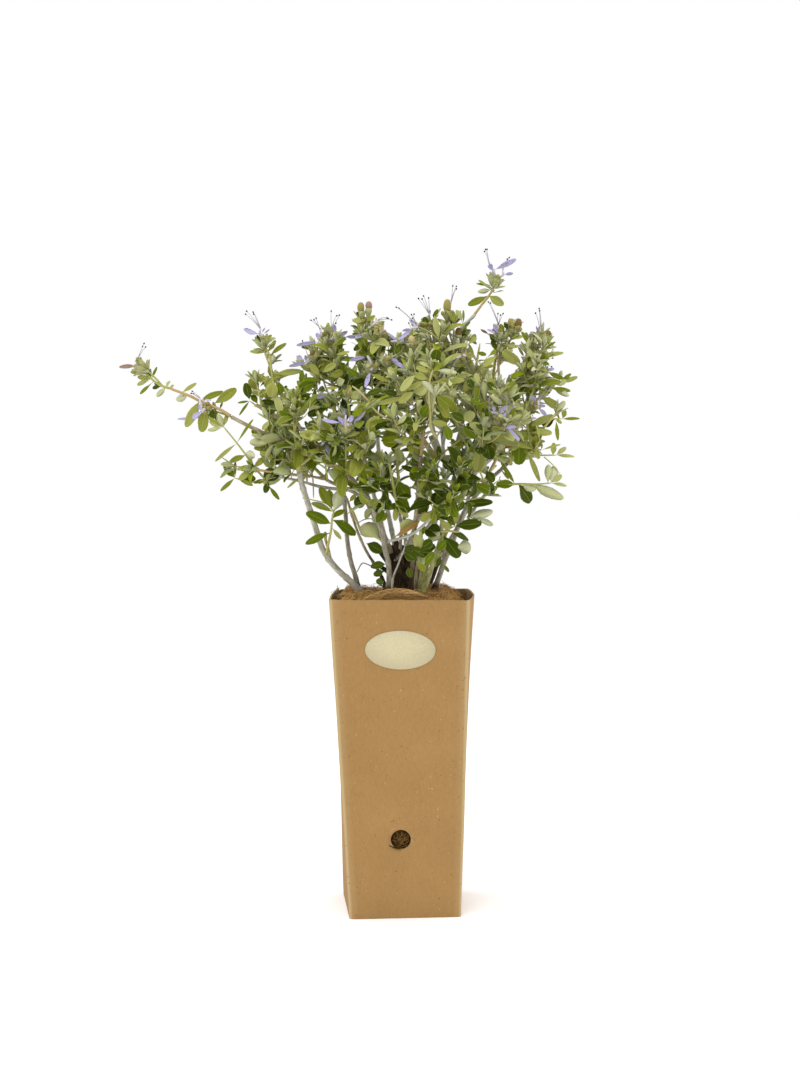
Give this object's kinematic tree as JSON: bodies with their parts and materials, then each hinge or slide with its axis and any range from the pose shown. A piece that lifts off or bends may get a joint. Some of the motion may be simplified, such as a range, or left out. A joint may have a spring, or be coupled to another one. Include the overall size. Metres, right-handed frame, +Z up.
{
  "type": "potted shrub",
  "caption": "Shrubby germander, a loose grey-green evergreen with lilac flowers, in a tall tapering cardboard pot.",
  "frame": {"origin": "centre of the pot's flat underside", "axes": "+Z up from the underside to the crown; -Y is the pot's front, with the label and the round hole; the one branch that reaches far out points to -X"},
  "size_m": [0.3699, 0.2194, 0.5434],
  "materials": {
    "kraft_card": "matt brown board",
    "label_paper": "smooth cream paper",
    "potting_mix": "dark damp peat and roots",
    "coir": "loose brown fibre",
    "old_wood": "dark rough bark",
    "stem_bark": "pale grey to brown bark",
    "foliage": "grey-green leaves with white felt below, and lilac flowers"
  },
  "bodies": {
    "root": {"pot": "kraft_card", "label": "label_paper", "root_ball": "potting_mix", "coir_mat": "coir", "trunk": "old_wood", "stem_far_left": "stem_bark", "stem_left_low": "stem_bark", "stem_left_upper": "stem_bark", "stem_left_mid": "stem_bark", "stem_upper_left": "stem_bark", "stem_mid_left_front": "stem_bark", "stem_lower_left": "stem_bark", "stem_top_left": "stem_bark", "stem_top_centre": "stem_bark", "stem_top_right_spray": "stem_bark", "stem_upper_right": "stem_bark", "stem_right_top": "stem_bark", "stem_right_mid": "stem_bark", "stem_right_low": "stem_bark", "stem_centre_front": "stem_bark", "stem_centre_low": "stem_bark", "stem_right_front_low": "stem_bark", "stem_mid_right": "stem_bark", "stem_lower_right": "stem_bark", "stem_rear_left_low": "stem_bark", "stem_rear_left_top": "stem_bark", "stem_rear_low": "stem_bark", "stem_rear_top": "stem_bark", "stem_rear_right_low": "stem_bark", "stem_rear_right_top": "stem_bark", "foliage_far_left": "foliage", "foliage_left_low": "foliage", "foliage_left_upper": "foliage", "foliage_left_mid": "foliage", "foliage_upper_left": "foliage", "foliage_mid_left_front": "foliage", "foliage_lower_left": "foliage", "foliage_top_left": "foliage", "foliage_top_centre": "foliage", "foliage_top_right_spray": "foliage", "foliage_upper_right": "foliage", "foliage_right_top": "foliage", "foliage_right_mid": "foliage", "foliage_right_low": "foliage", "foliage_centre_front": "foliage", "foliage_centre_low": "foliage", "foliage_right_front_low": "foliage", "foliage_mid_right": "foliage", "foliage_lower_right": "foliage", "foliage_rear_left_low": "foliage", "foliage_rear_left_top": "foliage", "foliage_rear_low": "foliage", "foliage_rear_top": "foliage", "foliage_rear_right_low": "foliage", "foliage_rear_right_top": "foliage"}
  },
  "joints": []
}
